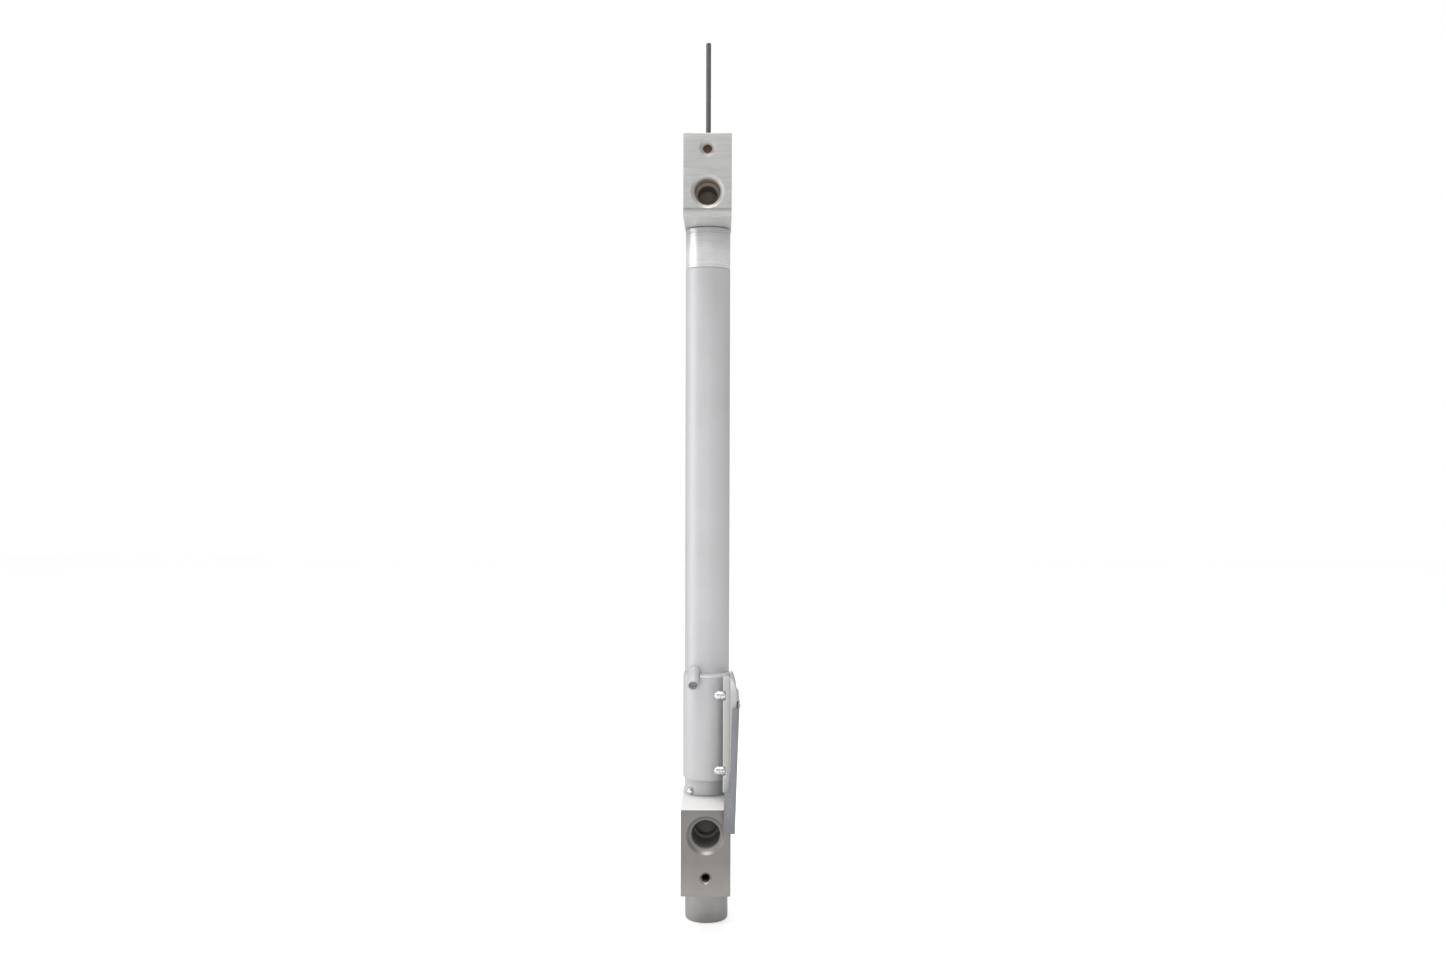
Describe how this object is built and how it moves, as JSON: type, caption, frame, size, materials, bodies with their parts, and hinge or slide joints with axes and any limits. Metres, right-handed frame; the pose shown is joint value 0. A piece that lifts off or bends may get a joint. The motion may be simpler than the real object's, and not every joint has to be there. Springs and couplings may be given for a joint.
{
  "type": "gate opener arm",
  "caption": "Slim linear gate opener arm: round tube with a stepped mounting block at each end, a thin sliding rod, a round motor end and a side switch unit.",
  "frame": {"origin": "where the axis of the rear pivot socket crosses the axis of the arm", "axes": "+Z along the arm towards the push rod; both pivot sockets open towards -Y; the switch unit is on +X"},
  "size_m": [0.0642, 0.1355, 0.9875],
  "materials": {
    "bare_steel": "satin machined steel",
    "raw_steel": "machined steel with a warm oxide",
    "cap_steel": "satin turned steel",
    "silver_paint": "smooth silver-grey paint",
    "polished_steel": "polished",
    "rod_steel": "dark oxide",
    "zinc": "bright zinc plating",
    "light_cast": "light grey powder coat on a casting",
    "dark_plastic": "dark blue-grey moulding",
    "rubber": "matt",
    "brass": "satin",
    "bronze": "satin bearing bronze",
    "gear_steel": "oiled steel",
    "ferrite": "dull",
    "copper": "bright copper",
    "board_green": "coated circuit board",
    "white_plastic": "natural engineering plastic"
  },
  "bodies": {
    "housing": {"bearing_housing": "light_cast", "bracket_screw_1": "zinc", "bracket_screw_2": "zinc", "bracket_spacer_1": "zinc", "bracket_spacer_2": "zinc", "breather_elbow": "silver_paint", "brush_holder": "white_plastic", "cable_gland": "dark_plastic", "closed_limit_switch": "dark_plastic", "cover_gasket": "rubber", "cover_screw_1": "zinc", "cover_screw_2": "zinc", "cover_screw_3": "zinc", "drain_screw": "zinc", "end_cap": "cap_steel", "front_block": "bare_steel", "front_collar": "polished_steel", "front_motor_bearing": "zinc", "front_thread_plug": "brass", "gear_housing": "silver_paint", "left_brush": "ferrite", "lower_magnet": "ferrite", "motor_can": "gear_steel", "motor_end_plate": "light_cast", "open_limit_switch": "dark_plastic", "outer_tube": "silver_paint", "position_board": "board_green", "rear_block": "raw_steel", "rear_motor_bearing": "zinc", "rear_thread_insert": "brass", "right_brush": "ferrite", "ring_gear": "gear_steel", "rod_bush": "bronze", "screw_bearing": "gear_steel", "side_bracket": "light_cast", "switch_board": "board_green", "switch_body": "light_cast", "switch_cover": "dark_plastic", "terminal_block": "white_plastic", "upper_magnet": "ferrite", "wiper_seal": "rubber"},
    "rotor": {"motor_shaft": "zinc", "rotor_core": "gear_steel", "commutator": "copper", "sun_gear": "gear_steel"},
    "screw": {"lead_screw": "zinc", "bearing_lock_nut": "zinc", "planet_carrier": "gear_steel", "planet_pin_1": "zinc", "planet_pin_2": "zinc", "planet_pin_3": "zinc"},
    "planet_1": {"planet_gear_1": "gear_steel"},
    "planet_2": {"planet_gear_2": "gear_steel"},
    "planet_3": {"planet_gear_3": "gear_steel"},
    "rod": {"drive_nut": "bronze", "nut_glide": "white_plastic", "position_magnet": "ferrite", "push_tube": "zinc", "rod_plug": "gear_steel", "push_rod": "rod_steel"}
  },
  "joints": [
    {"name": "rod_slide", "type": "slide", "parent": "housing", "child": "rod", "axis": [0, 0, 1], "range_m": [0, 0.25]},
    {"name": "screw_spin", "type": "hinge", "parent": "housing", "child": "screw", "pos_m": [0, 0, 0.007], "axis": [0, 0, -1], "range_deg": [0, 15000]},
    {"name": "motor_spin", "type": "hinge", "parent": "housing", "child": "rotor", "pos_m": [0, 0, -0.07], "axis": [0, 0, -1], "range_deg": [0, 75000]},
    {"name": "planet_1_spin", "type": "hinge", "parent": "screw", "child": "planet_1", "pos_m": [0, 0.0105, -0.019], "axis": [0, 0, -1], "range_deg": [-40000, 0]},
    {"name": "planet_2_spin", "type": "hinge", "parent": "screw", "child": "planet_2", "pos_m": [-0.00909, -0.00525, -0.019], "axis": [0, 0, -1], "range_deg": [-40000, 0]},
    {"name": "planet_3_spin", "type": "hinge", "parent": "screw", "child": "planet_3", "pos_m": [0.00909, -0.00525, -0.019], "axis": [0, 0, -1], "range_deg": [-40000, 0]}
  ],
  "couplings": [
    {"joint": "screw_spin", "follows": "rod_slide", "rad_per_m": 1047.2},
    {"joint": "motor_spin", "follows": "rod_slide", "rad_per_m": 5236},
    {"joint": "planet_1_spin", "follows": "rod_slide", "rad_per_m": -2792.5},
    {"joint": "planet_2_spin", "follows": "rod_slide", "rad_per_m": -2792.5},
    {"joint": "planet_3_spin", "follows": "rod_slide", "rad_per_m": -2792.5}
  ]
}
